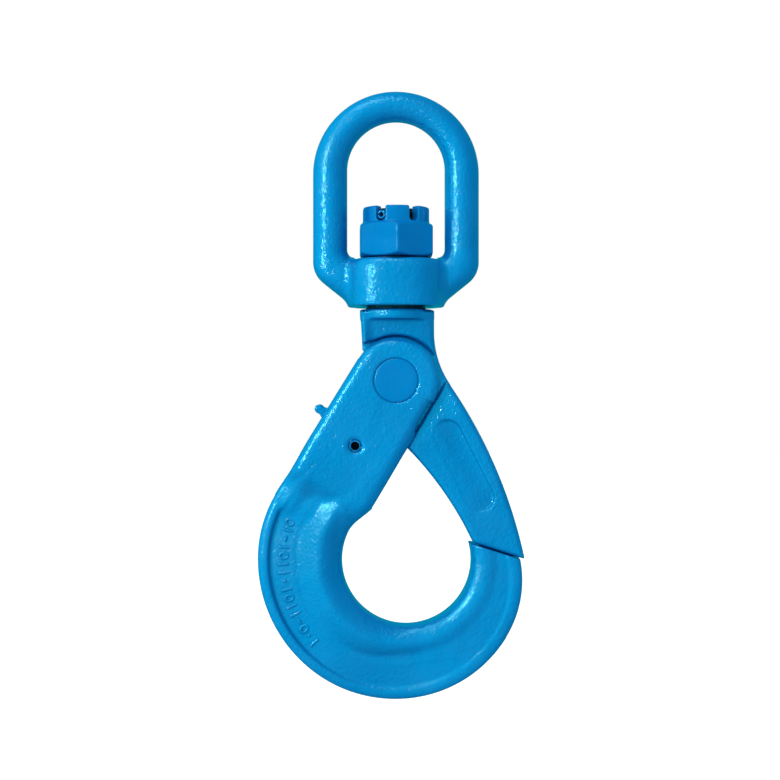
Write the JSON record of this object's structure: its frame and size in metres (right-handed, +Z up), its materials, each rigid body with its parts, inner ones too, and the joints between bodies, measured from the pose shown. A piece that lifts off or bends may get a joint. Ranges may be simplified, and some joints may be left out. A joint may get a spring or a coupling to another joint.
{
  "type": "swivel hook",
  "caption": "Self-locking swivel safety hook: a bail with a ball-bearing swivel, a fixed gate arm, a pivoting hook body and a thumb trigger.",
  "frame": {"origin": "bearing point inside the crown of the bail, where it hangs", "axes": "+Z up along the swivel axis, away from the hook; the hook lies in the XZ plane with its gate at +X; the front looks along -Y"},
  "size_m": [0.152, 0.0528, 0.347],
  "materials": {
    "bail_paint": "glossy enamel over a forged surface",
    "nut_paint": "glossy enamel over machined steel",
    "gate_paint": "glossy enamel over a forged surface",
    "hook_paint": "glossy enamel over a forged surface",
    "pin_paint": "glossy enamel",
    "trigger_paint": "glossy enamel over a forged surface",
    "bush_steel": "dark oiled steel",
    "cage_brass": "satin",
    "race_steel": "ground",
    "ball_steel": "polished",
    "spring_steel": "dark phosphated",
    "spring_wire": "drawn wire"
  },
  "bodies": {
    "bail": {"bail": "bail_paint", "shank_bush": "bush_steel", "bearing_lower_race": "race_steel"},
    "bearing_cage": {"bearing_cage": "cage_brass", "bearing_ball_01": "ball_steel", "bearing_ball_02": "ball_steel", "bearing_ball_03": "ball_steel", "bearing_ball_04": "ball_steel", "bearing_ball_05": "ball_steel", "bearing_ball_06": "ball_steel", "bearing_ball_07": "ball_steel", "bearing_ball_08": "ball_steel", "bearing_ball_09": "ball_steel", "bearing_ball_10": "ball_steel", "bearing_ball_11": "ball_steel", "bearing_ball_12": "ball_steel", "bearing_ball_13": "ball_steel", "bearing_ball_14": "ball_steel", "bearing_ball_15": "ball_steel", "bearing_ball_16": "ball_steel"},
    "gate": {"gate_forging": "gate_paint", "castle_nut": "nut_paint", "nut_roll_pin": "spring_steel", "bearing_upper_race": "race_steel"},
    "hook": {"hook_body": "hook_paint", "load_pin": "pin_paint", "trigger_pin": "spring_steel", "trigger_spring": "spring_wire"},
    "trigger": {"trigger": "trigger_paint"}
  },
  "joints": [
    {"name": "swivel", "type": "hinge", "parent": "bail", "child": "gate", "pos_m": [0, 0, -0.08275], "axis": [0, 0, 1], "continuous": true},
    {"name": "cage_orbit", "type": "hinge", "parent": "bail", "child": "bearing_cage", "pos_m": [0, 0, -0.08275], "axis": [0, 0, 1], "continuous": true},
    {"name": "hook_open", "type": "hinge", "parent": "gate", "child": "hook", "pos_m": [0, 0, -0.148], "axis": [0, 1, 0], "range_deg": [0, 40]},
    {"name": "trigger_release", "type": "hinge", "parent": "hook", "child": "trigger", "pos_m": [-0.02309, 0, -0.18488], "axis": [0, -1, 0], "range_deg": [0, 14], "stiffness_Nm_per_rad": 0.2, "springref_deg": -17.19, "deforming": ["trigger_spring"]}
  ],
  "couplings": [
    {"joint": "cage_orbit", "follows": "swivel", "ratio": 0.5},
    {"joint": "trigger_release", "follows": "hook_open", "ratio": 0.35}
  ]
}
